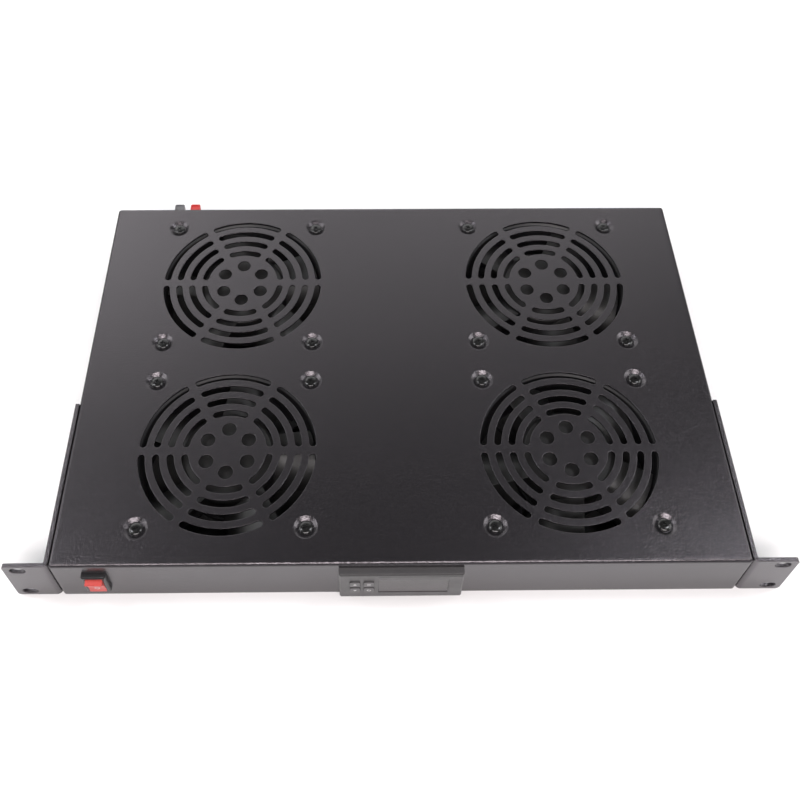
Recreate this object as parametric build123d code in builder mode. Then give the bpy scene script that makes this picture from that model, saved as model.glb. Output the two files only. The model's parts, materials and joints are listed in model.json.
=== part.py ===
import os
from math import cos, degrees, radians, sin

from build123d import *

os.makedirs("parts", exist_ok=True)

# All sizes in millimetres. X runs to the right of the front panel, Y runs back into the rack, Z is up.
# The origin is the centre of the four rack slots, on the back faces of the ears.

# Rack ears and their brackets, which bring the tray to the 482.6 mm and the slots of the 19 inch standard
ear_reach = 27.8
ear_thickness = 2.5
ear_height_margin = 0.4
ear_corner_radius = 2.5
ear_slot_length = 10.0
ear_slot_width = 7.0
ear_slot_inset = 8.75
ear_slot_margin = 5.925
bracket_length = 112.0
bracket_bend_radius = 3.5
bracket_screw_first = 32.0
bracket_screw_last = 22.0

# Room left round the fans, which sets the width, the depth and the height of the tray
fan_side_gap = 42.3
fan_front_gap = 16.5
fan_row_gap = 16.6
fan_rear_gap = 12.9
fan_under_gap = 3.0
thermostat_side_gap = 13.1

# Folded steel tray
sheet = 1.2
bend_radius = 2.4
lip_width = 9.0
cutout_clearance = 0.1

# Punched grille over each fan
grille_hole_diameter = 9.6
grille_hole_circle = 15.4
grille_rim = 1.9
ring_pitch = 9.3
spokes = 6
slot_width = 4.6
bridge_width = 5.0

# Pressed dimples, fan screws and bracket screws
dimple_seat_margin = 0.5
dimple_wall_run = 2.7
dimple_depth = 1.8
screw_diameter = 4.0
screw_hole_clearance = 0.25
pan_head_diameter = 8.6
pan_head_height = 1.9
pan_head_crown = 1.1
fan_screw_length = 8.0
countersunk_diameter = 8.0
countersunk_angle = 90.0
bracket_screw_length = 8.0
nut_width = 7.0
nut_height = 3.2
thread_clearance = 0.05

# Fans and where they stand
fan_size = 120.0
fan_depth = 38.0
fan_hole_inset = 7.5
fan_flange = 4.5
fan_corner_radius = 7.0
fan_rim = 2.5
fan_wall = 2.2
mouth_flare = 1.2
motor_base_diameter = 62.0
motor_base_height = 4.5
strut_width = 5.0
strut_height = 4.0
lead_strut_width = 3.0
lead_strut_gap = 4.0
hub_diameter = 61.0
hub_base_gap = 1.5
hub_chamfer = 2.0
rotor_top_gap = 2.6
blade_tip_gap = 1.2
blade_count = 5
blade_end_gap = 5.0
blade_tip_taper = 5.8
blade_root_pitch = 42.0
blade_tip_pitch = 27.0
blade_camber = 4.5
blade_thickness = 1.8
blade_sink = 11.5
shaft_diameter = 5.0
shaft_clearance = 0.05
bearing_floor = 0.9

# Rocker switch in the front panel
switch_from_side = 25.7
switch_width = 15.0
switch_height = 21.0
switch_bezel = 3.0
switch_bezel_chamfer = 0.8
switch_lip = 1.1
switch_body_depth = 14.0
switch_side_wall = 1.0
switch_end_wall = 0.8
rocker_side_gap = 0.2
rocker_end_gap = 1.0
rocker_inner_gap = 0.6
rocker_well_depth = 7.0
rocker_edge_out = 4.9
rocker_middle_out = 3.5
rocker_skirt = 4.2
rocker_heel_width = 5.0
rocker_heel = 2.4
rocker_pivot_in = 1.0
rocker_tilt = 10.0
trunnion_diameter = 2.8
trunnion_clearance = 0.05
trunnion_end_gap = 0.2
snap_rise = 0.9
snap_length = 6.0
spade_width = 4.8
spade_thickness = 0.8
spade_length = 8.0
spade_pitch = 9.0

# Thermostat in the front panel
thermostat_width = 76.2
thermostat_height = 34.5
thermostat_bezel = 5.0
thermostat_chamfer = 1.0
thermostat_side_lip = 2.2
thermostat_top_lip = 3.05
case_depth = 62.0
case_wall = 1.8
window_height = 20.0
window_from_right = 9.0
window_from_keys = 2.75
window_thickness = 1.2
window_recess = 0.3
groove_above_window = 4.7
groove_width = 0.6
groove_depth = 0.4
key_width = 6.3
key_height = 6.5
key_corner_radius = 1.0
key_spacing_x = 1.1
key_spacing_z = 1.3
key_from_case = 1.95
key_gap = 0.15
key_stand_out = 0.8
key_rim = 0.6
key_rim_thickness = 0.8
key_travel = 0.5
board_gap = 0.2
board_thickness = 1.6
clip_foot = 8.0
clip_arm = 22.0
clip_thickness = 2.5
clip_height = 16.0
connector_inset = 5.3
connector_height = 9.0
connector_depth = 9.0
connector_hole = 3.6
connector_hole_depth = 6.0
connector_pitch = 7.2

# Push terminal in the rear wall
terminal_from_side = 52.0
terminal_from_top = 16.0
terminal_width = 34.0
terminal_height = 22.0
terminal_flange = 2.0
terminal_side_lip = 3.0
terminal_top_lip = 1.5
terminal_back_wall = 1.5
lever_spacing = 5.0
lever_width = 7.4
lever_side_gap = 0.3
lever_window_depth = 7.5
lever_reach = 11.0
lever_rise = 8.5
lever_tip_height = 4.5
lever_tip_radius = 1.2
lever_dish_depth = 0.7
lever_dish_rim = 0.9
lever_dish_length = 6.5
lever_heel = 3.5
lever_drop = 4.0
lever_travel = 12.0
lever_swing_room = 0.4
lever_pin_diameter = 2.0
lever_pin_clearance = 0.05
lever_pin_in = 3.0
lever_pin_below_top = 3.0
wire_hole_diameter = 3.6
wire_hole_below = 5.5

# Power inlet in the rear wall
inlet_x = 0.0
inlet_lip = 2.25
inlet_flange = 3.0
inlet_corner = 6.0
inlet_wall = 1.5
inlet_floor = 4.0
socket_width = 24.0
socket_height = 16.5
socket_depth = 16.0
socket_chamfer = 4.5
pin_width = 4.0
pin_thickness = 2.0
pin_recess = 2.0
pin_pitch = 7.0
pin_earth_rise = 3.5
pin_row_drop = 1.5
tab_length = 8.0
inlet_screw_gap = 6.5
inlet_screw_inset = 5.0
inlet_screw_diameter = 3.0
inlet_head_diameter = 5.6
inlet_head_height = 1.8
inlet_screw_length = 7.0

# Sizes and places worked out from the sizes above
fan_centre_gap = thermostat_width + 2 * thermostat_side_gap
box_width = 2 * (fan_side_gap + fan_size) + fan_centre_gap
box_depth = fan_front_gap + 2 * fan_size + fan_row_gap + fan_rear_gap
box_height = dimple_depth + sheet + fan_depth + fan_under_gap
rack_width = box_width + 2 * ear_reach
ear_height = box_height - ear_height_margin
rack_hole_span_x = rack_width - 2 * ear_slot_inset
rack_hole_span_z = ear_height - 2 * ear_slot_margin
dimple_floor_diameter = pan_head_diameter + 2 * dimple_seat_margin
dimple_diameter = dimple_floor_diameter + 2 * dimple_wall_run
fan_bore = fan_size - 2 * fan_rim
fan_screw_pitch = fan_size - 2 * fan_hole_inset
fan_column_pitch = fan_size + fan_centre_gap
fan_row_pitch = fan_size + fan_row_gap
top_z = box_height / 2
bottom_z = -box_height / 2
front_y = -ear_thickness
rear_y = front_y + box_depth
middle_y = front_y + box_depth / 2
inner_front_y = front_y + sheet
side_x = box_width / 2
flange_x = side_x + ear_thickness
dimple_floor_z = top_z - dimple_depth
fan_top_z = dimple_floor_z - sheet
fan_bottom_z = fan_top_z - fan_depth
front_row_y = front_y + fan_front_gap + fan_size / 2
back_row_y = front_row_y + fan_row_pitch
fans = {
    "front_left": (-fan_column_pitch / 2, front_row_y),
    "front_right": (fan_column_pitch / 2, front_row_y),
    "back_left": (-fan_column_pitch / 2, back_row_y),
    "back_right": (fan_column_pitch / 2, back_row_y),
}
blade_phases = {"front_left": 3.0, "front_right": 40.0, "back_left": 21.0, "back_right": 58.0}
fan_corners = [
    (fan_x + across * fan_screw_pitch / 2, fan_y + along * fan_screw_pitch / 2)
    for fan_x, fan_y in fans.values()
    for across in (-1, 1)
    for along in (-1, 1)
]
bracket_screw_ys = [front_y + bracket_screw_first, front_y + bracket_length - bracket_screw_last]
front_plane = Plane.XZ.offset(-front_y)
rear_plane = Plane.XZ.offset(-rear_y)
down = (Align.CENTER, Align.CENTER, Align.MAX)


def save(builder, name):
    builder.part.label = name
    export_step(builder.part, f"parts/{name}.step")


def polar(radius, angle):
    return (radius * cos(radians(angle)), radius * sin(radians(angle)))


# The punched pattern over one fan: round holes, then rings of arc slots with their bridges in line
outer_ring_radius = fan_bore / 2 - grille_rim
inner_ring_limit = grille_hole_circle + grille_hole_diameter / 2 + ring_pitch - slot_width / 2
ring_count = 1 + int((outer_ring_radius - inner_ring_limit) / ring_pitch)
with BuildSketch() as grille:
    with PolarLocations(grille_hole_circle, spokes, start_angle=180 / spokes):
        Circle(grille_hole_diameter / 2)
    for ring in range(ring_count):
        ring_radius = outer_ring_radius - ring * ring_pitch
        slot_angle = 360 / spokes - degrees((bridge_width + slot_width) / ring_radius)
        slot_line = CenterArc((0, 0), ring_radius, -slot_angle / 2, slot_angle)
        with PolarLocations(0, spokes, start_angle=180 / spokes):
            SlotArc(slot_line, slot_width)

# The dimple wall keeps the thickness of the sheet, so its underside is this much wider than its top
dimple_slope = dimple_wall_run / dimple_depth
dimple_spread = sheet * ((1 + dimple_slope**2) ** 0.5 - dimple_slope)

switch_x = switch_from_side - side_x
switch_body_width = switch_width - 2 * switch_lip
switch_body_height = switch_height - 2 * switch_lip
case_width = thermostat_width - 2 * thermostat_side_lip
case_height = thermostat_height - 2 * thermostat_top_lip
terminal_x = terminal_from_side - side_x
terminal_z = top_z - terminal_from_top
terminal_body_width = terminal_width - 2 * terminal_side_lip
terminal_body_height = terminal_height - 2 * terminal_top_lip
inlet_body_width = socket_width + 2 * inlet_wall
inlet_body_height = socket_height + 2 * inlet_wall
inlet_screw_pitch = inlet_body_width + 2 * inlet_screw_gap

# Tray: one folded pan of sheet steel, open below, with a return lip along each side
with BuildPart() as tray_shell:
    with BuildSketch(Plane.XY.offset(bottom_z)):
        with Locations((0, middle_y)):
            Rectangle(box_width, box_depth)
    extrude(amount=box_height)
    fillet(tray_shell.edges().filter_by(Axis.Z), radius=bend_radius)
    fillet(tray_shell.faces().sort_by(Axis.Z)[-1].edges(), radius=bend_radius)
    offset(amount=-sheet, openings=tray_shell.faces().sort_by(Axis.Z)[0])
    with BuildSketch(Plane.XY.offset(bottom_z)):
        with Locations((0, middle_y)):
            with GridLocations(box_width - sheet - lip_width, 0, 2, 1):
                Rectangle(lip_width, box_depth - 2 * bend_radius)
    extrude(amount=sheet)
    with Locations(*[(x, y, top_z - sheet) for x, y in fan_corners]):
        Cone(
            dimple_floor_diameter / 2 + dimple_spread,
            dimple_diameter / 2 + dimple_spread,
            dimple_depth,
            align=down,
        )
    with Locations(*[(x, y, top_z) for x, y in fan_corners]):
        Cone(dimple_floor_diameter / 2, dimple_diameter / 2, dimple_depth, align=down, mode=Mode.SUBTRACT)
    with BuildSketch(Plane.XY.offset(fan_top_z)):
        with Locations(*fan_corners):
            Circle(screw_diameter / 2 + screw_hole_clearance)
    extrude(amount=sheet, mode=Mode.SUBTRACT)
    with BuildSketch(front_plane):
        with Locations((switch_x, 0)):
            Rectangle(switch_body_width + 2 * cutout_clearance, switch_body_height + 2 * cutout_clearance)
        Rectangle(case_width + 2 * cutout_clearance, case_height + 2 * cutout_clearance)
    extrude(amount=-sheet, mode=Mode.SUBTRACT)
    with BuildSketch(rear_plane):
        with Locations((terminal_x, terminal_z)):
            Rectangle(
                terminal_body_width + 2 * cutout_clearance,
                terminal_body_height + 2 * cutout_clearance,
            )
        with Locations((inlet_x, 0)):
            Rectangle(inlet_body_width + 2 * cutout_clearance, inlet_body_height + 2 * cutout_clearance)
            with GridLocations(inlet_screw_pitch, 0, 2, 1):
                Circle(inlet_screw_diameter / 2 + thread_clearance)
    extrude(amount=sheet, mode=Mode.SUBTRACT)
    with BuildSketch(Plane.YZ.offset(-side_x)):
        with Locations(*[(y, 0) for y in bracket_screw_ys]):
            Circle(screw_diameter / 2 + thread_clearance)
    extrude(amount=box_width, mode=Mode.SUBTRACT)
    with BuildSketch(Plane.XY.offset(top_z)):
        with Locations(*fans.values()):
            add(grille.sketch)
    extrude(amount=-sheet, mode=Mode.SUBTRACT)
save(tray_shell, "tray_shell")

# Brackets: a flange along the side of the tray, bent outward into the slotted rack ear
with BuildPart() as right_bracket:
    with BuildSketch(Plane.XY.offset(-ear_height / 2)) as bracket_profile:
        with BuildLine():
            Polyline(
                (side_x, front_y),
                (rack_width / 2, front_y),
                (rack_width / 2, 0),
                (flange_x, 0),
                (flange_x, front_y + bracket_length),
                (side_x, front_y + bracket_length),
                close=True,
            )
        make_face()
        corners = bracket_profile.vertices().sort_by_distance((side_x, front_y, -ear_height / 2))
        fillet(corners[0], radius=bracket_bend_radius)
        corners = bracket_profile.vertices().sort_by_distance((flange_x, 0, -ear_height / 2))
        fillet(corners[0], radius=bracket_bend_radius - ear_thickness)
    extrude(amount=ear_height)
    fillet(right_bracket.faces().sort_by(Axis.X)[-1].edges().filter_by(Axis.Y), radius=ear_corner_radius)
    with BuildSketch(front_plane):
        with Locations((rack_hole_span_x / 2, 0)):
            with GridLocations(0, rack_hole_span_z, 1, 2):
                SlotOverall(ear_slot_length, ear_slot_width)
    extrude(amount=-ear_thickness, mode=Mode.SUBTRACT)
    with Locations(*[Location((flange_x, y, 0), (0, 90, 0)) for y in bracket_screw_ys]):
        CounterSinkHole(
            screw_diameter / 2 + thread_clearance,
            countersunk_diameter / 2,
            depth=ear_thickness,
            counter_sink_angle=countersunk_angle,
        )
save(right_bracket, "right_bracket")

with BuildPart() as left_bracket:
    mirror(right_bracket.part, about=Plane.YZ)
save(left_bracket, "left_bracket")

# Countersunk screws and nuts that hold the brackets to the sides of the tray
countersunk_depth = (countersunk_diameter - screw_diameter) / 2
with BuildPart() as bracket_screw:
    Cone(screw_diameter / 2, countersunk_diameter / 2 - thread_clearance, countersunk_depth, align=down)
    Cylinder(screw_diameter / 2, bracket_screw_length, align=down)
with BuildPart() as bracket_nut:
    with BuildSketch(Plane.XY.offset(-ear_thickness - sheet)):
        RegularPolygon(nut_width / 2, 6, major_radius=False)
        Circle(screw_diameter / 2 + thread_clearance, mode=Mode.SUBTRACT)
    extrude(amount=-nut_height)
bracket_screw_places = [
    Location((side * flange_x, y, 0), (0, side * 90, 0)) for side in (-1, 1) for y in bracket_screw_ys
]
with BuildPart() as bracket_screws:
    with Locations(*bracket_screw_places):
        add(bracket_screw.part)
save(bracket_screws, "bracket_screws")
with BuildPart() as bracket_nuts:
    with Locations(*bracket_screw_places):
        add(bracket_nut.part)
save(bracket_nuts, "bracket_nuts")

# Pan head screws, one in each dimple, cutting their thread in the fan flange below
with BuildPart() as fan_screw:
    with BuildSketch(Plane.XZ):
        with BuildLine():
            Polyline(
                (0, pan_head_height),
                (pan_head_diameter / 2 - pan_head_crown, pan_head_height),
                (pan_head_diameter / 2, pan_head_height - pan_head_crown),
                (pan_head_diameter / 2, 0),
                (screw_diameter / 2, 0),
                (screw_diameter / 2, -fan_screw_length),
                (0, -fan_screw_length),
                close=True,
            )
        make_face()
    revolve(axis=Axis.Z)
with BuildPart() as fan_screws:
    with Locations(*[(x, y, dimple_floor_z) for x, y in fan_corners]):
        add(fan_screw.part)
save(fan_screws, "fan_screws")

# Fan frame: two square flanges joined by the air duct, with the motor base on struts across the far end
motor_base_z = fan_bottom_z + motor_base_height
bearing_depth = motor_base_height - bearing_floor
with BuildPart() as fan_frame:
    with BuildSketch(Plane.XY.offset(fan_bottom_z), Plane.XY.offset(fan_top_z - fan_flange)):
        RectangleRounded(fan_size, fan_size, fan_corner_radius)
    extrude(amount=fan_flange)
    with BuildSketch(Plane.XY.offset(fan_bottom_z)):
        Circle(fan_bore / 2 + fan_wall)
    extrude(amount=fan_depth)
    with BuildSketch(Plane.XY.offset(fan_bottom_z)):
        Circle(fan_bore / 2)
    extrude(amount=fan_depth, mode=Mode.SUBTRACT)
    chamfer(fan_frame.edges().filter_by(GeomType.CIRCLE).group_by(Axis.Z)[-1], length=mouth_flare)
    with BuildSketch(Plane.XY.offset(fan_bottom_z)):
        Circle(motor_base_diameter / 2)
    extrude(amount=motor_base_height)
    with BuildSketch(Plane.XY.offset(fan_bottom_z)):
        Circle((fan_bore + fan_wall) / 2)
        Circle(motor_base_diameter / 2 - strut_width, mode=Mode.SUBTRACT)
        with BuildSketch(mode=Mode.INTERSECT):
            Rectangle(fan_bore + fan_wall, strut_width, rotation=-45)
            with Locations(Location((0, 0), 45)):
                with Locations((fan_size / 4, 0)):
                    Rectangle(fan_size / 2, strut_width)
                with Locations((-fan_size / 4, (lead_strut_width + lead_strut_gap) / 2)):
                    Rectangle(fan_size / 2, lead_strut_width)
                with Locations((-fan_size / 4, -(lead_strut_width + lead_strut_gap) / 2)):
                    Rectangle(fan_size / 2, lead_strut_width)
    extrude(amount=strut_height)
    with BuildSketch(Plane.XY.offset(motor_base_z)):
        Circle(shaft_diameter / 2 + shaft_clearance)
    extrude(amount=-bearing_depth, mode=Mode.SUBTRACT)
    with BuildSketch(Plane.XY.offset(fan_bottom_z)):
        with GridLocations(fan_screw_pitch, fan_screw_pitch, 2, 2):
            Circle(screw_diameter / 2 + thread_clearance)
    extrude(amount=fan_depth, mode=Mode.SUBTRACT)


def blade_section(chord, pitch):
    """A thin crescent, tangential along X and axial along Y, that leans by the pitch."""
    lead = polar(-chord / 2, pitch)
    trail = polar(chord / 2, pitch)
    with BuildSketch() as section:
        with BuildLine():
            SagittaArc(lead, trail, blade_camber + blade_thickness)
            SagittaArc(lead, trail, blade_camber)
        make_face()
    return section.sketch


# Fan rotor: motor drum with its shaft stub, and twisted blades lofted from root to tip
hub_top_z = fan_top_z - rotor_top_gap
hub_bottom_z = motor_base_z + hub_base_gap
blade_height = fan_depth - strut_height - 2 * blade_end_gap
blade_z = fan_bottom_z + strut_height + blade_end_gap + blade_height / 2
blade_root_x = hub_diameter / 2 - blade_sink
tip_radius = fan_bore / 2 - blade_tip_gap
root_section = blade_section(blade_height / sin(radians(blade_root_pitch)), blade_root_pitch)
tip_chord = (blade_height - blade_tip_taper) / sin(radians(blade_tip_pitch))
tip_section = blade_section(tip_chord, blade_tip_pitch)
with BuildPart() as blade:
    with BuildSketch(Plane((blade_root_x, 0, blade_z), x_dir=(0, 1, 0), z_dir=(1, 0, 0))):
        add(root_section)
    with BuildSketch(Plane((fan_bore / 2, 0, blade_z), x_dir=(0, 1, 0), z_dir=(1, 0, 0))):
        add(tip_section)
    loft()
    with Locations((0, 0, blade_z)):
        Cylinder(tip_radius, fan_depth, mode=Mode.INTERSECT)
with BuildPart() as fan_rotor:
    with BuildSketch(Plane.XY.offset(hub_bottom_z)):
        Circle(hub_diameter / 2)
    extrude(amount=hub_top_z - hub_bottom_z)
    chamfer(fan_rotor.faces().sort_by(Axis.Z)[-1].edges(), length=hub_chamfer)
    with BuildSketch(Plane.XY.offset(hub_bottom_z)):
        Circle(shaft_diameter / 2)
    extrude(amount=-(hub_base_gap + bearing_depth - shaft_clearance))
    with PolarLocations(0, blade_count):
        add(blade.part)

for place, (fan_x, fan_y) in fans.items():
    with BuildPart() as placed_frame:
        with Locations((fan_x, fan_y, 0)):
            add(fan_frame.part)
    save(placed_frame, f"fan_frame_{place}")
    with BuildPart() as placed_rotor:
        with Locations(Location((fan_x, fan_y, 0), (0, 0, blade_phases[place]))):
            add(fan_rotor.part)
    save(placed_rotor, f"fan_rotor_{place}")

# Switch body: bezel outside the panel, housing with two snap wings behind it, and the well for the rocker
pivot_y = front_y + rocker_pivot_in
rocker_width = switch_body_width - 2 * (switch_side_wall + rocker_side_gap)
rocker_length = switch_body_height - 2 * (switch_end_wall + rocker_inner_gap)
with BuildPart() as switch_body:
    with BuildSketch(front_plane):
        with Locations((switch_x, 0)):
            Rectangle(switch_width, switch_height)
    extrude(amount=switch_bezel)
    chamfer(switch_body.faces().sort_by(Axis.Y)[0].edges(), length=switch_bezel_chamfer)
    with BuildSketch(front_plane):
        with Locations((switch_x, 0)):
            Rectangle(switch_body_width, switch_body_height)
    extrude(amount=-switch_body_depth)
    with BuildSketch(Plane.YZ.offset(switch_x - spade_width / 2)):
        for side in (-1, 1):
            with BuildLine():
                Polyline(
                    (inner_front_y, side * (switch_body_height / 2 + snap_rise)),
                    (inner_front_y + snap_length, side * switch_body_height / 2),
                    (inner_front_y, side * switch_body_height / 2),
                    close=True,
                )
            make_face()
    extrude(amount=spade_width)
    with BuildSketch(front_plane):
        with Locations((switch_x, 0)):
            Rectangle(rocker_width + 2 * rocker_side_gap, rocker_length + 2 * rocker_end_gap)
    extrude(amount=switch_bezel, mode=Mode.SUBTRACT)
    with BuildSketch(front_plane):
        with Locations((switch_x, 0)):
            Rectangle(rocker_width + 2 * rocker_side_gap, rocker_length + 2 * rocker_inner_gap)
    extrude(amount=-rocker_well_depth, mode=Mode.SUBTRACT)
    with BuildSketch(Plane.YZ.offset(switch_x - switch_body_width / 2)):
        with Locations((pivot_y, 0)):
            Circle(trunnion_diameter / 2 + trunnion_clearance)
    extrude(amount=switch_body_width, mode=Mode.SUBTRACT)
save(switch_body, "switch_body")

# Rocker: drawn about its pivot with a hollow front, then set with its lower end pressed in
with BuildPart() as rocker_blank:
    with BuildSketch(Plane.YZ.offset(-rocker_width / 2)):
        with BuildLine():
            ThreePointArc(
                (-rocker_edge_out - rocker_pivot_in, rocker_length / 2),
                (-rocker_middle_out - rocker_pivot_in, 0),
                (-rocker_edge_out - rocker_pivot_in, -rocker_length / 2),
            )
            Polyline(
                (-rocker_edge_out - rocker_pivot_in, -rocker_length / 2),
                (-rocker_edge_out - rocker_pivot_in + rocker_skirt, -rocker_length / 2),
                (rocker_heel, -rocker_heel_width / 2),
                (rocker_heel, rocker_heel_width / 2),
                (-rocker_edge_out - rocker_pivot_in + rocker_skirt, rocker_length / 2),
                (-rocker_edge_out - rocker_pivot_in, rocker_length / 2),
            )
        make_face()
    extrude(amount=rocker_width)
    trunnion_span = switch_body_width - 2 * trunnion_end_gap
    with BuildSketch(Plane.YZ.offset(-trunnion_span / 2)):
        Circle(trunnion_diameter / 2)
    extrude(amount=trunnion_span)
with BuildPart() as switch_rocker:
    with Locations(Location((switch_x, pivot_y, 0), (rocker_tilt, 0, 0))):
        add(rocker_blank.part)
save(switch_rocker, "switch_rocker")

with BuildPart() as switch_spades:
    with BuildSketch(Plane.XZ.offset(-front_y - switch_body_depth)):
        with Locations((switch_x, 0)):
            with GridLocations(0, spade_pitch, 1, 2):
                Rectangle(spade_width, spade_thickness)
    extrude(amount=-spade_length)
save(switch_spades, "switch_spades")

# Thermostat bezel, with a pocket for the display window, a groove above it and openings for the four keys
bezel_plane = Plane.XZ.offset(-front_y + thermostat_bezel)
key_pitch_x = key_width + 2 * key_rim + key_spacing_x
key_pitch_z = key_height + 2 * key_rim + key_spacing_z
keys_x = (key_pitch_x + key_width - case_width) / 2 + case_wall + key_from_case + key_rim
window_left = keys_x + (key_pitch_x + key_width) / 2 + window_from_keys
window_right = thermostat_width / 2 - window_from_right
window_x = (window_left + window_right) / 2
window_width = window_right - window_left
groove_length = thermostat_width / 2 - window_left
key_places = {
    "key_up": (keys_x - key_pitch_x / 2, key_pitch_z / 2),
    "key_down": (keys_x - key_pitch_x / 2, -key_pitch_z / 2),
    "key_set": (keys_x + key_pitch_x / 2, key_pitch_z / 2),
    "key_power": (keys_x + key_pitch_x / 2, -key_pitch_z / 2),
}
with BuildPart() as thermostat_front:
    with BuildSketch(front_plane):
        Rectangle(thermostat_width, thermostat_height)
    extrude(amount=thermostat_bezel)
    chamfer(thermostat_front.faces().sort_by(Axis.Y)[0].edges(), length=thermostat_chamfer)
    with BuildSketch(bezel_plane):
        with Locations((window_x, 0)):
            Rectangle(window_width, window_height)
    extrude(amount=-(window_thickness + window_recess), mode=Mode.SUBTRACT)
    with BuildSketch(bezel_plane):
        with Locations((window_left + groove_length / 2, window_height / 2 + groove_above_window)):
            Rectangle(groove_length, groove_width)
    extrude(amount=-groove_depth, mode=Mode.SUBTRACT)
    with BuildSketch(front_plane):
        with Locations(*key_places.values()):
            RectangleRounded(key_width + 2 * key_gap, key_height + 2 * key_gap, key_corner_radius + key_gap)
    extrude(amount=thermostat_bezel, mode=Mode.SUBTRACT)
save(thermostat_front, "thermostat_bezel")

with BuildPart() as thermostat_window:
    with BuildSketch(bezel_plane.offset(-window_recess)):
        with Locations((window_x, 0)):
            Rectangle(window_width, window_height)
    extrude(amount=-window_thickness)
save(thermostat_window, "thermostat_window")

# Keys: each has a rim behind the bezel that stops it at rest and travels towards the board
for key_name, (key_x, key_z) in key_places.items():
    with BuildPart() as key:
        with BuildSketch(front_plane):
            with Locations((key_x, key_z)):
                RectangleRounded(key_width, key_height, key_corner_radius)
        extrude(amount=thermostat_bezel + key_stand_out)
        with BuildSketch(front_plane):
            with Locations((key_x, key_z)):
                Rectangle(key_width + 2 * key_rim, key_height + 2 * key_rim)
        extrude(amount=-key_rim_thickness)
    save(key, key_name)

with BuildPart() as thermostat_case:
    with BuildSketch(front_plane):
        Rectangle(case_width, case_height)
    extrude(amount=-case_depth)
    offset(amount=-case_wall, openings=thermostat_case.faces().sort_by(Axis.Y)[0])
save(thermostat_case, "thermostat_case")

board_y = front_y + key_rim_thickness + key_travel + board_gap
with BuildPart() as thermostat_board:
    with BuildSketch(Plane.XZ.offset(-board_y)):
        Rectangle(case_width - 2 * case_wall, case_height - 2 * case_wall)
    extrude(amount=-board_thickness)
save(thermostat_board, "thermostat_board")

# Slide clips that pull the thermostat against the panel from behind
with BuildPart() as thermostat_clips:
    with BuildSketch(Plane.XY.offset(-clip_height / 2)):
        for side in (-1, 1):
            with BuildLine():
                Polyline(
                    (side * case_width / 2, inner_front_y),
                    (side * (case_width / 2 + clip_foot), inner_front_y),
                    (side * (case_width / 2 + clip_foot), inner_front_y + clip_thickness),
                    (side * (case_width / 2 + clip_thickness), inner_front_y + clip_foot),
                    (side * (case_width / 2 + clip_thickness), inner_front_y + clip_arm),
                    (side * case_width / 2, inner_front_y + clip_arm),
                    close=True,
                )
            make_face()
    extrude(amount=clip_height)
save(thermostat_clips, "thermostat_clips")

# Screwless wire connector on the back of the thermostat
case_back_y = front_y + case_depth
connector_width = case_width - 2 * connector_inset
connector_ways = int(connector_width / connector_pitch)
with BuildPart() as thermostat_connector:
    with BuildSketch(Plane.XZ.offset(-case_back_y)):
        Rectangle(connector_width, connector_height)
    extrude(amount=-connector_depth)
    with BuildSketch(Plane.XZ.offset(-case_back_y - connector_depth)):
        with GridLocations(connector_pitch, 0, connector_ways, 1):
            Rectangle(connector_hole, connector_hole)
    extrude(amount=connector_hole_depth, mode=Mode.SUBTRACT)
save(thermostat_connector, "thermostat_connector")

# Push terminal housing: flange outside the rear wall, body inside, lever windows above and wire holes below
lever_top_z = terminal_z + lever_rise
lever_pin_y = rear_y - lever_pin_in
lever_pin_z = lever_top_z - lever_pin_below_top
lever_pitch = lever_width + lever_spacing
lever_xs = [terminal_x - lever_pitch / 2, terminal_x + lever_pitch / 2]
terminal_body_depth = lever_window_depth + terminal_back_wall
swing = (lever_pin_in + terminal_flange) * sin(radians(lever_travel))
window_low_z = lever_pin_z - lever_drop - swing - lever_swing_room
window_high_z = lever_top_z + lever_swing_room
with BuildPart() as terminal_housing:
    with BuildSketch(rear_plane):
        with Locations((terminal_x, terminal_z)):
            Rectangle(terminal_width, terminal_height)
    extrude(amount=-terminal_flange)
    with BuildSketch(rear_plane):
        with Locations((terminal_x, terminal_z)):
            Rectangle(terminal_body_width, terminal_body_height)
    extrude(amount=terminal_body_depth)
    with BuildSketch(rear_plane.offset(-terminal_flange)):
        with Locations(*[(x, (window_low_z + window_high_z) / 2) for x in lever_xs]):
            Rectangle(lever_width + 2 * lever_side_gap, window_high_z - window_low_z)
        with Locations(*[(x, terminal_z - wire_hole_below) for x in lever_xs]):
            Circle(wire_hole_diameter / 2)
    extrude(amount=terminal_flange + lever_window_depth, mode=Mode.SUBTRACT)
    with BuildSketch(Plane.YZ.offset(terminal_x - terminal_body_width / 2)):
        with Locations((lever_pin_y, lever_pin_z)):
            Circle(lever_pin_diameter / 2)
    extrude(amount=terminal_body_width, mode=Mode.SUBTRACT)
save(terminal_housing, "terminal_housing")

with BuildPart() as terminal_pin:
    with BuildSketch(Plane.YZ.offset(terminal_x - terminal_body_width / 2)):
        with Locations((lever_pin_y, lever_pin_z)):
            Circle(lever_pin_diameter / 2)
    extrude(amount=terminal_body_width)
save(terminal_pin, "terminal_pin")

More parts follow.
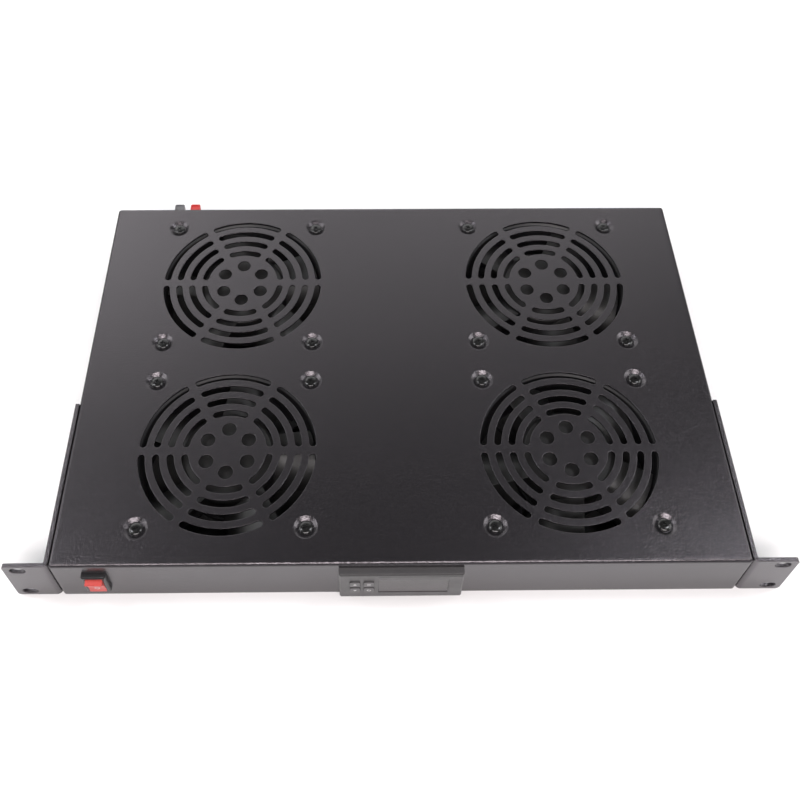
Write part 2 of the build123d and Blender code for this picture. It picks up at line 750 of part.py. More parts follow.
# Levers: the heel turns on the pin, the finger tab stands out behind the tray
for lever_name, lever_x in zip(("terminal_lever_grey", "terminal_lever_red"), lever_xs):
    with BuildPart() as lever:
        with BuildSketch(Plane.YZ.offset(lever_x - lever_width / 2)):
            with BuildLine():
                Polyline(
                    (lever_pin_y - lever_heel, lever_pin_z - lever_drop),
                    (lever_pin_y - lever_heel, lever_pin_z + lever_pin_below_top / 2),
                    (lever_pin_y, lever_top_z),
                    (rear_y + lever_reach, lever_top_z),
                    (rear_y + lever_reach, lever_top_z - lever_tip_height),
                    (rear_y + terminal_flange, lever_pin_z - lever_drop),
                    close=True,
                )
            make_face()
            with Locations((lever_pin_y, lever_pin_z)):
                Circle(lever_pin_diameter / 2 + lever_pin_clearance, mode=Mode.SUBTRACT)
        extrude(amount=lever_width)
        tip_corners = lever.faces().sort_by(Axis.Y)[-1].edges().filter_by(Axis.Z)
        fillet(tip_corners, radius=lever_tip_radius)
        with BuildSketch(Plane.XY.offset(lever_top_z)):
            with Locations((lever_x, rear_y + lever_reach - lever_dish_rim - lever_dish_length / 2)):
                RectangleRounded(lever_width - 2 * lever_dish_rim, lever_dish_length, lever_tip_radius)
        extrude(amount=-lever_dish_depth, mode=Mode.SUBTRACT)
    save(lever, lever_name)

# Power inlet: flange, body and the shaped socket, with three flat pins through its floor
inlet_width = inlet_screw_pitch + 2 * inlet_screw_inset
inlet_height = inlet_body_height + 2 * inlet_lip
inlet_body_depth = socket_depth - inlet_flange + inlet_floor
pin_tip_y = rear_y + inlet_flange - pin_recess
tab_end_y = rear_y - inlet_body_depth - tab_length
pin_places = [
    (inlet_x - pin_pitch, -pin_row_drop),
    (inlet_x, pin_earth_rise - pin_row_drop),
    (inlet_x + pin_pitch, -pin_row_drop),
]
with BuildPart() as inlet_body:
    with BuildSketch(rear_plane):
        with Locations((inlet_x, 0)):
            RectangleRounded(inlet_width, inlet_height, inlet_corner)
    extrude(amount=-inlet_flange)
    with BuildSketch(rear_plane):
        with Locations((inlet_x, 0)):
            Rectangle(inlet_body_width, inlet_body_height)
    extrude(amount=inlet_body_depth)
    with BuildSketch(rear_plane.offset(-inlet_flange)) as socket:
        with Locations((inlet_x, 0)):
            Rectangle(socket_width, socket_height)
        chamfer(socket.vertices().group_by(Axis.Y)[-1], length=socket_chamfer)
    extrude(amount=socket_depth, mode=Mode.SUBTRACT)
    with BuildSketch(rear_plane):
        with Locations(*pin_places):
            Rectangle(pin_thickness, pin_width)
    extrude(amount=inlet_body_depth, mode=Mode.SUBTRACT)
    with BuildSketch(rear_plane):
        with Locations((inlet_x, 0)):
            with GridLocations(inlet_screw_pitch, 0, 2, 1):
                Circle(inlet_screw_diameter / 2 + thread_clearance)
    extrude(amount=-inlet_flange, mode=Mode.SUBTRACT)
save(inlet_body, "inlet_body")

with BuildPart() as inlet_pins:
    with BuildSketch(Plane.XZ.offset(-pin_tip_y)):
        with Locations(*pin_places):
            Rectangle(pin_thickness, pin_width)
    extrude(amount=pin_tip_y - tab_end_y)
save(inlet_pins, "inlet_pins")

with BuildPart() as inlet_screws:
    with BuildSketch(rear_plane.offset(-inlet_flange)):
        with Locations((inlet_x, 0)):
            with GridLocations(inlet_screw_pitch, 0, 2, 1):
                Circle(inlet_head_diameter / 2)
    extrude(amount=-inlet_head_height)
    with BuildSketch(rear_plane.offset(-inlet_flange)):
        with Locations((inlet_x, 0)):
            with GridLocations(inlet_screw_pitch, 0, 2, 1):
                Circle(inlet_screw_diameter / 2)
    extrude(amount=inlet_screw_length)
save(inlet_screws, "inlet_screws")
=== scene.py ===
import json
from math import cos, pi, radians, sin, tau

import bmesh
import bpy
from mathutils import Matrix, Vector


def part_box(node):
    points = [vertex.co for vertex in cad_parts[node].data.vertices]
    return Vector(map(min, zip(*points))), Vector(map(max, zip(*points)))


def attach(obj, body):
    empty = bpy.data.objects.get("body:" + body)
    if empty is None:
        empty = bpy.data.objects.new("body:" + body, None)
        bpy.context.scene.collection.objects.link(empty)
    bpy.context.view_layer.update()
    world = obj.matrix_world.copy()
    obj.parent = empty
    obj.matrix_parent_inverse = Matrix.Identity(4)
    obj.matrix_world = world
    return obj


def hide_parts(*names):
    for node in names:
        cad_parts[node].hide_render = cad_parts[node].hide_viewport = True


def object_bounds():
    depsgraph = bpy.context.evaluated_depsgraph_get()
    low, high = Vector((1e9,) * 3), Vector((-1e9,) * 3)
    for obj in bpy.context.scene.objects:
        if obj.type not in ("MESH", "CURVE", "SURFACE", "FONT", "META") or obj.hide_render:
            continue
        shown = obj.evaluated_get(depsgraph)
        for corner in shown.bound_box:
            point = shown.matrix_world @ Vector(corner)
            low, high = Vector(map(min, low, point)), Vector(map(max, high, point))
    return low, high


MM = 0.001
IMAGE_SIZE = 800

# The photograph's camera: place in metres, tilt in degrees, focal length and centre in pixels
CAMERA_PLACE = (-0.0225, -0.2412, 0.6184)
CAMERA_TILT = (40.198, -0.221, -0.551)
FOCAL_PIXELS = 1012.3
CENTRE_PIXEL = (372.1, 228.0)
SENSOR_WIDTH = 36.0

# The floor, in metres: its half width, how far the painted shade under the tray (a dark patch in
# the floor's colour) stays inside the tray's walls, how far from the tray reflections see the floor
# end, and how far off the camera starts to see plain white
FLOOR_REACH = 6.0
PAINTED_SHADE_INSET = 0.02
TABLE_EDGE = 0.12
WHITE_FROM = 0.45
FLOOR_COLOUR = (0.86, 0.86, 0.86, 1)
# Painted shade: the floor's colour right under the tray, dark for the shade that falls there
PAINTED_SHADE_COLOUR = (0.03, 0.03, 0.03, 1)
BEYOND_TABLE_COLOUR = (0.02, 0.02, 0.02, 1)

# The world: its plain level, and the heights between which its glow in reflections fades
WORLD_LEVEL = 0.06
GLOW_FADE = (0.12, 0.40)

# Softboxes: where they aim, the size of those that light the front corners, and their colours
TRAY_MIDDLE = (0, 0.14, 0)
TRAY_FRONT_HALF = (0, 0.05, 0)
CORNER_LIGHT_SIZE = (0.3, 0.3)
WARM_LIGHT = (1.0, 0.94, 0.94)
COOL_LIGHT = (0.95, 0.96, 1.0)

# Procedural looks: the middle range of a noise, the powder coat's colours, the scales of the noises
# and the roundings that the shader gives to edges
NOISE_RANGE = (0.3, 0.7)
COAT_COLOUR = (0.007, 0.007, 0.008)
COAT_DARK, COAT_LIGHT = (0.006, 0.0055, 0.0065), (0.008, 0.0075, 0.0085)
COAT_TINT = (1.0, 0.93, 0.99, 1)
COAT_GRAIN_SCALE = 1100
PLASTIC_SHEEN_SCALE = 90
METAL_GRAIN_SCALE, METAL_SHEEN_SCALE = 2500, 300
PLASTIC_EDGE_RADIUS = 0.25 * MM
METAL_EDGE_RADIUS = 0.15 * MM
SMOOTH_ANGLE = 35

# Screws: sizes that the frame's boxes don't give
FAN_HEAD_HEIGHT = 1.9 * MM
FAN_HOLE_INSET = 7.5 * MM
BRACKET_SCREW_LENGTH = 8.0 * MM
M4_RADIUS, M4_PITCH = 2.0 * MM, 0.7 * MM
M3_RADIUS, M3_PITCH = 1.5 * MM, 0.5 * MM
CONE_RIM = 0.1 * MM
SCREW_SEGMENTS = 48
CROWN_STEPS = 8
GOLDEN_ANGLE = 137.5

# Screws: shares of the head and its recess, of the thread's pitch and of the shank's radius
HEAD_EDGE, HEAD_FLAT = 0.40, 0.35
RECESS_SPAN, WING_WIDTH = 0.98, 0.24
WING_TIP_LENGTH, WING_TIP_WIDTH = 0.38, 0.75
PAN_RECESS_DEPTH, CONE_RECESS_DEPTH = 0.72, 0.7
RECESS_RISE = 0.2
THREAD_DEPTH = 0.35
TIP_RADIUS = 0.8

# Prints on the keys and the rocker
KEY_MARK_SIZE = 2.2 * MM
PRINT_DEPTH = 0.10 * MM
PRINT_RISE = 0.02 * MM

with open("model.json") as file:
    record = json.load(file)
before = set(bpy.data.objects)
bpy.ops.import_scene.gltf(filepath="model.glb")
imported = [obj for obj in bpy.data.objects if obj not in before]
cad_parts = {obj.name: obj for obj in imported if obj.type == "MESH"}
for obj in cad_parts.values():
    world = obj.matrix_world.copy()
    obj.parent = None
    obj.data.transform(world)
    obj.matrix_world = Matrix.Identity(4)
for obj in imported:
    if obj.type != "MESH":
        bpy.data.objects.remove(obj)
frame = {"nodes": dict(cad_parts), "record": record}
cad_low, cad_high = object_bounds()
nodes = frame["nodes"]


# Camera, floor and lights


def add_camera():
    data = bpy.data.cameras.new("photo_camera")
    data.sensor_width = SENSOR_WIDTH
    data.lens = FOCAL_PIXELS / IMAGE_SIZE * SENSOR_WIDTH
    data.shift_x = 0.5 - CENTRE_PIXEL[0] / IMAGE_SIZE
    data.shift_y = CENTRE_PIXEL[1] / IMAGE_SIZE - 0.5
    camera = bpy.data.objects.new("photo_camera", data)
    camera.location = CAMERA_PLACE
    camera.rotation_euler = [radians(angle) for angle in CAMERA_TILT]
    bpy.context.scene.collection.objects.link(camera)
    bpy.context.scene.camera = camera


def distance_from_box(tree, low, high, near, far):
    """Grows from 0 to 1 between the near and far distances from a box."""
    middle, half = (low + high) / 2, (high - low) / 2
    value = tree.nodes.new("ShaderNodeNewGeometry").outputs["Position"]
    steps = (
        ("SUBTRACT", middle),
        ("ABSOLUTE", None),
        ("SUBTRACT", half),
        ("MAXIMUM", Vector()),
        ("LENGTH", None),
    )
    for operation, operand in steps:
        step = tree.nodes.new("ShaderNodeVectorMath")
        step.operation = operation
        tree.links.new(value, step.inputs[0])
        if operand is not None:
            step.inputs[1].default_value = operand
        value = step.outputs["Value" if operation == "LENGTH" else "Vector"]
    ramp = tree.nodes.new("ShaderNodeMapRange")
    ramp.inputs["From Min"].default_value = near
    ramp.inputs["From Max"].default_value = far
    tree.links.new(value, ramp.inputs["Value"])
    return ramp.outputs["Result"]


def floor_material():
    """A pale floor with painted shade right under the tray: a dark patch in the floor's colour.
    Reflections see it end a little way off, as a table does, and far from the tray the camera sees
    it plain white."""
    mat = bpy.data.materials.new("floor_white")
    mat.use_nodes = True
    tree = mat.node_tree
    bsdf = tree.nodes["Principled BSDF"]
    bsdf.inputs["Roughness"].default_value = 0.9
    bsdf.inputs["Specular IOR Level"].default_value = 0.1
    tray_low, tray_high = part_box("tray_shell")
    # Painted shade: the floor's colour goes dark under the tray and fades back to pale near its
    # walls
    inset = Vector((PAINTED_SHADE_INSET, PAINTED_SHADE_INSET, 0))
    beside_painted_shade = distance_from_box(tree, tray_low + inset, tray_high - inset, 0, PAINTED_SHADE_INSET / 2)
    shade = tree.nodes.new("ShaderNodeMix")
    shade.data_type = "RGBA"
    shade.inputs["A"].default_value = PAINTED_SHADE_COLOUR
    shade.inputs["B"].default_value = FLOOR_COLOUR
    tree.links.new(beside_painted_shade, shade.inputs["Factor"])
    tree.links.new(shade.outputs["Result"], bsdf.inputs["Base Color"])
    path = tree.nodes.new("ShaderNodeLightPath")
    mirrored = tree.nodes.new("ShaderNodeMath")
    mirrored.operation = "MULTIPLY"
    tree.links.new(path.outputs["Is Glossy Ray"], mirrored.inputs[0])
    past_table = distance_from_box(tree, cad_low, cad_high, TABLE_EDGE, 2 * TABLE_EDGE)
    tree.links.new(past_table, mirrored.inputs[1])
    dark = tree.nodes.new("ShaderNodeBsdfDiffuse")
    dark.inputs["Color"].default_value = BEYOND_TABLE_COLOUR
    mix = tree.nodes.new("ShaderNodeMixShader")
    tree.links.new(mirrored.outputs[0], mix.inputs[0])
    tree.links.new(bsdf.outputs[0], mix.inputs[1])
    tree.links.new(dark.outputs[0], mix.inputs[2])
    seen = tree.nodes.new("ShaderNodeMath")
    seen.operation = "MULTIPLY"
    tree.links.new(path.outputs["Is Camera Ray"], seen.inputs[0])
    far_off = distance_from_box(tree, cad_low, cad_high, WHITE_FROM, 2 * WHITE_FROM)
    tree.links.new(far_off, seen.inputs[1])
    white = tree.nodes.new("ShaderNodeEmission")
    backdrop = tree.nodes.new("ShaderNodeMixShader")
    tree.links.new(seen.outputs[0], backdrop.inputs[0])
    tree.links.new(mix.outputs[0], backdrop.inputs[1])
    tree.links.new(white.outputs[0], backdrop.inputs[2])
    tree.links.new(backdrop.outputs[0], tree.nodes["Material Output"].inputs["Surface"])
    return mat


def add_floor():
    mesh = bpy.data.meshes.new("floor")
    bm = bmesh.new()
    bmesh.ops.create_grid(bm, x_segments=1, y_segments=1, size=FLOOR_REACH)
    bmesh.ops.translate(bm, verts=bm.verts, vec=(0, 0, cad_low.z))
    bm.to_mesh(mesh)
    bm.free()
    mesh.materials.append(floor_material())
    floor = bpy.data.objects.new("floor", mesh)
    bpy.context.scene.collection.objects.link(floor)


def add_softbox(name, place, target, size, power, colour=(1, 1, 1)):
    data = bpy.data.lights.new(name, "AREA")
    data.shape = "RECTANGLE"
    data.size, data.size_y = size
    data.energy = power
    data.color = colour
    light = bpy.data.objects.new(name, data)
    light.location = place
    light.rotation_euler = (Vector(target) - Vector(place)).to_track_quat("-Z", "Y").to_euler()
    bpy.context.scene.collection.objects.link(light)


def studio_world():
    """Dim all round, but white to the camera and, near the horizon, in reflections too."""
    world = bpy.data.worlds.new("studio")
    world.use_nodes = True
    tree = world.node_tree
    height = tree.nodes.new("ShaderNodeSeparateXYZ")
    tree.links.new(tree.nodes.new("ShaderNodeTexCoord").outputs["Generated"], height.inputs[0])
    glow = tree.nodes.new("ShaderNodeMapRange")
    glow.inputs["From Min"].default_value = GLOW_FADE[0]
    glow.inputs["From Max"].default_value = GLOW_FADE[1]
    glow.inputs["To Min"].default_value = 1
    glow.inputs["To Max"].default_value = 0
    tree.links.new(height.outputs["Z"], glow.inputs["Value"])
    path = tree.nodes.new("ShaderNodeLightPath")
    strength = glow.outputs["Result"]
    steps = (("MULTIPLY", "Is Glossy Ray"), ("MAXIMUM", "Is Camera Ray"), ("MAXIMUM", None))
    for operation, operand in steps:
        step = tree.nodes.new("ShaderNodeMath")
        step.operation = operation
        tree.links.new(strength, step.inputs[0])
        if operand:
            tree.links.new(path.outputs[operand], step.inputs[1])
        else:
            step.inputs[1].default_value = WORLD_LEVEL
        strength = step.outputs[0]
    tree.nodes["Background"].inputs["Color"].default_value = (1, 1, 1, 1)
    tree.links.new(strength, tree.nodes["Background"].inputs["Strength"])
    return world


def add_studio():
    add_floor()
    bpy.context.scene.world = studio_world()
    add_softbox("back_softbox", (-0.20, 1.40, 1.17), TRAY_MIDDLE, (2.4, 0.8), 7.5)
    add_softbox("back_left_softbox", (-0.85, 1.30, 1.17), (-0.05, 0.14, 0), (0.8, 0.6), 2.5)
    add_softbox("slot_softbox", (0.0, 1.75, 0.85), TRAY_MIDDLE, (2.0, 0.35), 6)
    add_softbox("front_softbox", (0.0, -0.85, 1.25), (0, 0, 0), (1.4, 0.3), 25, WARM_LIGHT)
    corner_lights = (
        ("left_high_softbox", (-0.88, 0.24, 1.40), 4.5),
        ("right_high_softbox", (0.82, 0.25, 1.47), 6),
    )
    for name, place, power in corner_lights:
        add_softbox(name, place, TRAY_FRONT_HALF, CORNER_LIGHT_SIZE, power, COOL_LIGHT)
    for side in (-1, 1):
        add_softbox("side_softbox", (side * 1.10, 0.10, 0.75), (0, 0.1, 0), (0.9, 0.3), 5)
        add_softbox("side_low_softbox", (side * 1.25, 0.05, 0.42), (0, 0.1, 0), (0.9, 0.4), 1.8)
    bpy.context.scene.view_settings.view_transform = "Standard"


# Procedural materials


def new_material(name, colour, roughness):
    mat = bpy.data.materials.new(name)
    mat.use_nodes = True
    bsdf = mat.node_tree.nodes["Principled BSDF"]
    bsdf.inputs["Base Color"].default_value = (*colour, 1)
    bsdf.inputs["Roughness"].default_value = roughness
    return mat, bsdf


def noise(mat, scale, detail=2.0):
    tree = mat.node_tree
    place = tree.nodes.new("ShaderNodeTexCoord")
    texture = tree.nodes.new("ShaderNodeTexNoise")
    texture.inputs["Scale"].default_value = scale
    texture.inputs["Detail"].default_value = detail
    tree.links.new(place.outputs["Object"], texture.inputs["Vector"])
    return texture.outputs["Fac"]


def spread(mat, factor, low, high, socket):
    """Maps the middle of a noise to the range from low to high on the shader's socket."""
    tree = mat.node_tree
    ramp = tree.nodes.new("ShaderNodeMapRange")
    ramp.inputs["From Min"].default_value = NOISE_RANGE[0]
    ramp.inputs["From Max"].default_value = NOISE_RANGE[1]
    ramp.inputs["To Min"].default_value = low
    ramp.inputs["To Max"].default_value = high
    tree.links.new(factor, ramp.inputs["Value"])
    tree.links.new(ramp.outputs["Result"], socket)


def tint(mat, bsdf, factor, dark, light):
    tree = mat.node_tree
    ramp = tree.nodes.new("ShaderNodeValToRGB")
    ramp.color_ramp.elements[0].position = NOISE_RANGE[0]
    ramp.color_ramp.elements[0].color = (*dark, 1)
    ramp.color_ramp.elements[1].position = NOISE_RANGE[1]
    ramp.color_ramp.elements[1].color = (*light, 1)
    tree.links.new(factor, ramp.inputs["Fac"])
    tree.links.new(ramp.outputs["Color"], bsdf.inputs["Base Color"])


def bump(mat, bsdf, height, strength, distance, edge_radius):
    """Fine relief on a surface whose edges are shaded round."""
    tree = mat.node_tree
    node = tree.nodes.new("ShaderNodeBump")
    node.inputs["Strength"].default_value = strength
    node.inputs["Distance"].default_value = distance
    tree.links.new(height, node.inputs["Height"])
    edge = tree.nodes.new("ShaderNodeBevel")
    edge.samples = 4
    edge.inputs["Radius"].default_value = edge_radius
    tree.links.new(edge.outputs["Normal"], node.inputs["Normal"])
    tree.links.new(node.outputs["Normal"], bsdf.inputs["Normal"])


def powder_coat(name, shine, ior, edge_radius, grain_depth):
    mat, bsdf = new_material(name, COAT_COLOUR, 0.26)
    bsdf.inputs["Specular IOR Level"].default_value = shine
    bsdf.inputs["IOR"].default_value = ior
    bsdf.inputs["Specular Tint"].default_value = COAT_TINT
    grain = noise(mat, COAT_GRAIN_SCALE, 1)
    tint(mat, bsdf, grain, COAT_DARK, COAT_LIGHT)
    spread(mat, grain, 0.25, 0.27, bsdf.inputs["Roughness"])
    bump(mat, bsdf, grain, 1.0, grain_depth, edge_radius)
    return mat


def moulded(name, colour, roughness, grain_size, edge_radius=PLASTIC_EDGE_RADIUS):
    mat, bsdf = new_material(name, colour, roughness)
    grain = noise(mat, 1 / grain_size)
    tint(mat, bsdf, grain, [0.85 * c for c in colour], [1.12 * c for c in colour])
    sheen = noise(mat, PLASTIC_SHEEN_SCALE)
    spread(mat, sheen, roughness - 0.05, roughness + 0.05, bsdf.inputs["Roughness"])
    bump(mat, bsdf, grain, 0.2, 0.03 * MM, edge_radius)
    return mat


def metal(name, colour, roughness):
    mat, bsdf = new_material(name, colour, roughness)
    bsdf.inputs["Metallic"].default_value = 1.0
    grain = noise(mat, METAL_GRAIN_SCALE)
    tint(mat, bsdf, grain, [0.8 * c for c in colour], colour)
    sheen = noise(mat, METAL_SHEEN_SCALE)
    spread(mat, sheen, roughness - 0.06, roughness + 0.06, bsdf.inputs["Roughness"])
    bump(mat, bsdf, grain, 0.15, 0.02 * MM, METAL_EDGE_RADIUS)
    return mat


MATERIALS = {
    "powder_coat": powder_coat("powder_coat", 0.82, 1.5, 0.7 * MM, 0.15 * MM),
    "round_edged_coat": powder_coat("round_edged_coat", 1.0, 1.55, 1.1 * MM, 0.24 * MM),
    "black_steel": moulded("black_steel", (0.008, 0.008, 0.008), 0.2, 0.5 * MM, 0.12 * MM),
    "zinc_steel": metal("zinc_steel", (0.60, 0.61, 0.62), 0.35),
    "switch_black": moulded("switch_black", (0.012, 0.012, 0.013), 0.35, 0.6 * MM),
    "rocker_red": moulded("rocker_red", (0.50, 0.055, 0.045), 0.36, 0.6 * MM),
    "brass": metal("brass", (0.72, 0.56, 0.30), 0.3),
    "bezel_grey": moulded("bezel_grey", (0.045, 0.043, 0.044), 0.38, 0.5 * MM),
    "window_smoke": moulded("window_smoke", (0.030, 0.024, 0.026), 0.22, 0.8 * MM),
    "case_black": moulded("case_black", (0.016, 0.016, 0.017), 0.5, 0.5 * MM),
    "board_green": moulded("board_green", (0.03, 0.14, 0.06), 0.45, 0.5 * MM),
    "key_grey": moulded("key_grey", (0.075, 0.072, 0.074), 0.42, 0.5 * MM),
    "terminal_black": moulded("terminal_black", (0.013, 0.013, 0.014), 0.4, 0.6 * MM),
    "lever_grey": moulded("lever_grey", (0.10, 0.10, 0.105), 0.4, 0.6 * MM),
    "lever_red": moulded("lever_red", (0.45, 0.022, 0.018), 0.38, 0.6 * MM),
    "inlet_black": moulded("inlet_black", (0.013, 0.013, 0.014), 0.4, 0.6 * MM),
    "fan_black": moulded("fan_black", (0.008, 0.008, 0.009), 0.5, 0.7 * MM),
    "rotor_black": moulded("rotor_black", (0.012, 0.012, 0.012), 0.42, 0.7 * MM),
    "print_light": moulded("print_light", (0.55, 0.54, 0.54), 0.5, 0.5 * MM, 0.02 * MM),
}


def dress_nodes():
    slot_of = {row["node"]: row["material_slot"] for row in frame["record"]["subparts"]}
    for name, node in nodes.items():
        look = "round_edged_coat" if name.endswith("_bracket") else slot_of[name]
        node.data.materials.clear()
        node.data.materials.append(MATERIALS[look])


# Pieces built as meshes


def add_piece(bm, name, material, body):
    """Turns a bmesh into a piece that rides on a body, smooth where its faces meet gently."""
    mesh = bpy.data.meshes.new(name)
    bm.to_mesh(mesh)
    bm.free()
    mesh.materials.append(MATERIALS[material])
    for polygon in mesh.polygons:
        polygon.use_smooth = True
    piece = bpy.data.objects.new(name, mesh)
    bpy.context.scene.collection.objects.link(piece)
    split = piece.modifiers.new("crisp_edges", "EDGE_SPLIT")
    split.split_angle = radians(SMOOTH_ANGLE)
    piece.modifiers.new("weighted_normals", "WEIGHTED_NORMAL")
    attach(piece, body)
    return piece


def lathe(profile, segments):
    """A closed solid of revolution about Z, whose (radius, height) points start and end on it."""
    bm = bmesh.new()
    rings = []
    for radius, height in profile:
        if radius == 0:
            rings.append([bm.verts.new((0, 0, height))])
        else:
            ring = []
            for step in range(segments):
                turn = tau * step / segments
                ring.append(bm.verts.new((radius * cos(turn), radius * sin(turn), height)))
            rings.append(ring)
    for upper, lower in zip(rings, rings[1:]):
        for step in range(segments):
            following = (step + 1) % segments
            corners = [upper[step % len(upper)], lower[step % len(lower)]]
            corners += [lower[following % len(lower)], upper[following % len(upper)]]
            bm.faces.new(list(dict.fromkeys(corners)))
    bmesh.ops.recalc_face_normals(bm, faces=bm.faces)
    return bm


def copies(bm, places):
    """One bmesh with a copy of the given one at each place, which is a matrix."""
    pattern = bpy.data.meshes.new("pattern")
    bm.to_mesh(pattern)
    bm.free()
    joined = bmesh.new()
    for place in places:
        old_count = len(joined.verts)
        joined.from_mesh(pattern)
        joined.verts.ensure_lookup_table()
        bmesh.ops.transform(joined, matrix=place, verts=joined.verts[old_count:])
    bpy.data.meshes.remove(pattern)
    return joined


def cut(bm, cutter):
    """The first bmesh with the second taken out of it."""
    objects = []
    for part, name in ((bm, "stock"), (cutter, "cutter")):
        mesh = bpy.data.meshes.new(name)
        part.to_mesh(mesh)
        part.free()
        objects.append(bpy.data.objects.new(name, mesh))
        bpy.context.scene.collection.objects.link(objects[-1])
    stock, tool = objects
    boolean = stock.modifiers.new("cut", "BOOLEAN")
    boolean.operation = "DIFFERENCE"
    boolean.solver = "EXACT"
    boolean.use_self = True
    boolean.object = tool
    bpy.context.view_layer.update()
    result = bmesh.new()
    result.from_mesh(stock.evaluated_get(bpy.context.evaluated_depsgraph_get()).to_mesh())
    for spent in objects:
        mesh = spent.data
        bpy.data.objects.remove(spent)
        bpy.data.meshes.remove(mesh)
    return result


def cross_recess(span, depth, top):
    """The cutter of a cross recess: two crossed wings that taper towards the bottom."""
    bm = bmesh.new()
    for turn in (0, 90):
        wing = bmesh.ops.create_cube(bm, size=1)["verts"]
        for vert in wing:
            upper = vert.co.z > 0
            vert.co.x *= span * (1 if upper else WING_TIP_LENGTH)
            vert.co.y *= span * WING_WIDTH * (1 if upper else WING_TIP_WIDTH)
            vert.co.z = top + RECESS_RISE * depth if upper else top - depth
        spin = Matrix.Rotation(radians(turn), 3, "Z")
        bmesh.ops.rotate(bm, verts=wing, cent=(0, 0, 0), matrix=spin)
    return bm


def shank_points(radius, start, length, pitch):
    """The profile of a threaded shank that runs down from the start height."""
    turns = int(length / pitch)
    points = [(radius, start)]
    for turn in range(turns):
        crest = start - (turn + 0.5) * pitch
        points += [(radius, crest), (radius - THREAD_DEPTH * pitch, crest - 0.5 * pitch)]
    return points + [(radius * TIP_RADIUS, start - length), (0, start - length)]


def pan_screw(head_radius, head_height, shank_radius, length, pitch):
    """A cross recessed pan head screw along Z, with the underside of its head at height 0."""
    edge, flat = HEAD_EDGE * head_height, HEAD_FLAT * head_radius
    crown = []
    for step in range(CROWN_STEPS + 1):
        turn = pi / 2 * (1 - step / CROWN_STEPS)
        reach = flat + (head_radius - flat) * cos(turn)
        crown.append((reach, edge + (head_height - edge) * sin(turn)))
    profile = [(0, head_height), *crown, (head_radius, 0)]
    profile += shank_points(shank_radius, 0, length, pitch)
    depth = PAN_RECESS_DEPTH * head_height
    recess = cross_recess(RECESS_SPAN * head_radius, depth, head_height)
    return cut(lathe(profile, SCREW_SEGMENTS), recess)


def countersunk_screw(head_radius, shank_radius, length, pitch):
    """A cross recessed countersunk screw along Z, with the face of its head at height 0."""
    cone = head_radius - shank_radius
    profile = [(0, 0), (head_radius - CONE_RIM, 0), (head_radius, -CONE_RIM)]
    profile += shank_points(shank_radius, -cone, length - cone, pitch)
    recess = cross_recess(RECESS_SPAN * head_radius, CONE_RECESS_DEPTH * cone, 0)
    return cut(lathe(profile, SCREW_SEGMENTS), recess)


def spun_places(places, direction):
    """Matrices that stand a screw's Z axis along the direction, each with a turn of its own."""
    upright = Vector(direction).to_track_quat("Z", "Y").to_matrix().to_4x4()
    spun = [Matrix.Rotation(radians(GOLDEN_ANGLE * step), 4, "Z") for step in range(len(places))]
    return [Matrix.Translation(place) @ upright @ spin for place, spin in zip(places, spun)]


def add_fan_screws():
    low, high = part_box("fan_screws")
    frames = [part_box(name) for name in nodes if name.startswith("fan_frame_")]
    places = [
        (x, y, high.z - FAN_HEAD_HEIGHT)
        for frame_low, frame_high in frames
        for x in (frame_low.x + FAN_HOLE_INSET, frame_high.x - FAN_HOLE_INSET)
        for y in (frame_low.y + FAN_HOLE_INSET, frame_high.y - FAN_HOLE_INSET)
    ]
    head_radius = min(x for x, y, z in places) - low.x
    length = high.z - FAN_HEAD_HEIGHT - low.z
    screw = pan_screw(head_radius, FAN_HEAD_HEIGHT, M4_RADIUS, length, M4_PITCH)
    screws = copies(screw, spun_places(places, (0, 0, 1)))
    piece = add_piece(screws, "fan_pan_screws", "black_steel", "tray")
    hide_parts("fan_screws")


def add_bracket_screws():
    low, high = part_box("bracket_screws")
    radius = (high.z - low.z) / 2
    ys = (low.y + radius, high.y - radius)
    screw = countersunk_screw(radius, M4_RADIUS, BRACKET_SCREW_LENGTH, M4_PITCH)
    left = spun_places([(low.x, y, 0) for y in ys], (-1, 0, 0))
    right = spun_places([(high.x, y, 0) for y in ys], (1, 0, 0))
    screws = copies(screw, left + right)
    piece = add_piece(screws, "bracket_countersunk_screws", "black_steel", "tray")
    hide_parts("bracket_screws")


def add_inlet_screws():
    low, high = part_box("inlet_screws")
    seat_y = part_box("inlet_body")[1].y
    radius = (high.z - low.z) / 2
    places = [(low.x + radius, seat_y, 0), (high.x - radius, seat_y, 0)]
    screw = pan_screw(radius, high.y - seat_y, M3_RADIUS, seat_y - low.y, M3_PITCH)
    screws = copies(screw, spun_places(places, (0, 1, 0)))
    piece = add_piece(screws, "inlet_pan_screws", "black_steel", "tray")
    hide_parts("inlet_screws")


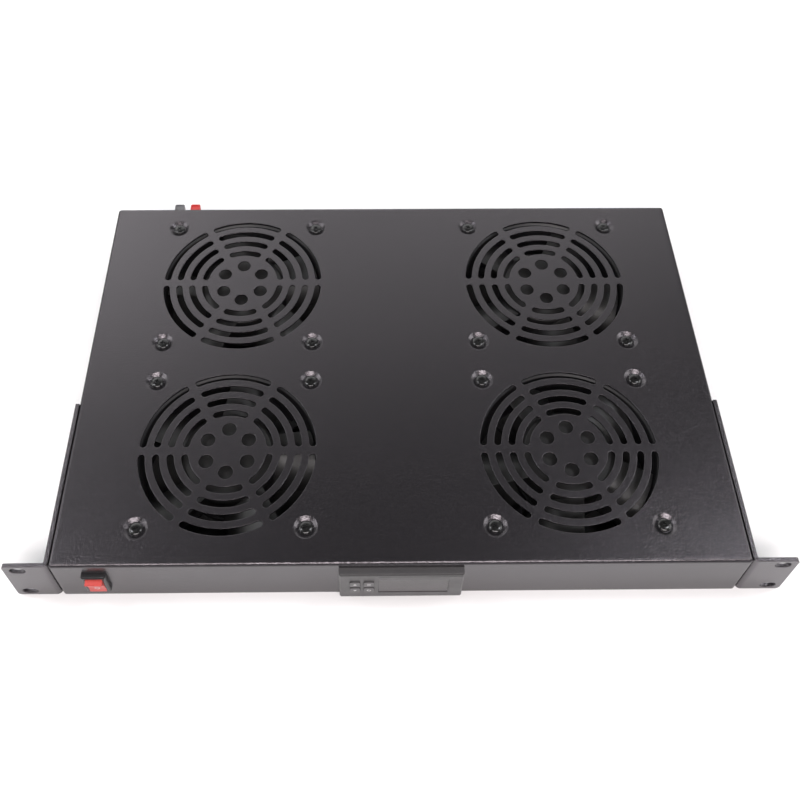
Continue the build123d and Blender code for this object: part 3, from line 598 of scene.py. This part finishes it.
def printed(node, x, z, outlines):
    """Thin raised shapes on the front of a CAD node, from closed outlines round the point x, z."""
    bm = bmesh.new()
    for outline in outlines:
        front, back = [], []
        for across, up in outline:
            eye = Vector((x + across, -1, z + up))
            _, place, normal, _ = nodes[node].ray_cast(eye, Vector((0, 1, 0)))
            front.append(bm.verts.new(place + PRINT_RISE * normal))
            back.append(bm.verts.new(place - PRINT_DEPTH * normal))
        bm.faces.new(front)
        bm.faces.new(back[::-1])
        for step in range(len(front)):
            bm.faces.new((front[step - 1], back[step - 1], back[step], front[step]))
    bmesh.ops.recalc_face_normals(bm, faces=bm.faces)
    return bm


def bar(width, height, y=0.0):
    corners = ((-1, -1), (1, -1), (1, 1), (-1, 1))
    return [(across * width / 2, y + up * height / 2) for across, up in corners]


def arc_bars(radius, line, start, sweep, count):
    """Short straight pieces that follow an arc, as outlines."""
    outlines = []
    for step in range(count):
        first, last = (radians(start + sweep * turn / count) for turn in (step, step + 1))
        inner, outer = radius - line / 2, radius + line / 2
        ends = ((inner, first), (outer, first), (outer, last), (inner, last))
        outlines.append([(reach * cos(turn), reach * sin(turn)) for reach, turn in ends])
    return outlines


def add_marks():
    size = KEY_MARK_SIZE
    arrow = [(-size / 2, -size / 3), (size / 2, -size / 3), (0, size / 2)]
    marks = {
        "key_up": [arrow],
        "key_down": [[(-x, -y) for x, y in arrow]],
        "key_set": [bar(size, 0.25 * size, y=0.3 * size), bar(size, 0.25 * size, y=-0.3 * size)],
        "key_power": [
            *arc_bars(0.5 * size, 0.2 * size, 125, 290, 20),
            bar(0.2 * size, 0.6 * size, y=0.4 * size),
        ],
    }
    for node, outlines in marks.items():
        low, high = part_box(node)
        mark = printed(node, (low.x + high.x) / 2, (low.z + high.z) / 2, outlines)
        add_piece(mark, f"{node}_mark", "print_light", f"{node}_cap")
    low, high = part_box("switch_rocker")
    x, reach = (low.x + high.x) / 2, (high.z - low.z) / 2
    line, length = 0.22 * size, 0.26 * size
    stroke = [bar(line, length, y=length * step) for step in range(-2, 3)]
    rocker_marks = {
        "rocker_mark_on": (stroke, 0.5 * reach),
        "rocker_mark_off": (arc_bars(0.65 * size, line, 0, 360, 28), -0.5 * reach),
    }
    for name, (outlines, z) in rocker_marks.items():
        add_piece(printed("switch_rocker", x, z, outlines), name, "print_light", "rocker")


add_camera()
add_studio()
dress_nodes()
add_fan_screws()
add_bracket_screws()
add_inlet_screws()
add_marks()
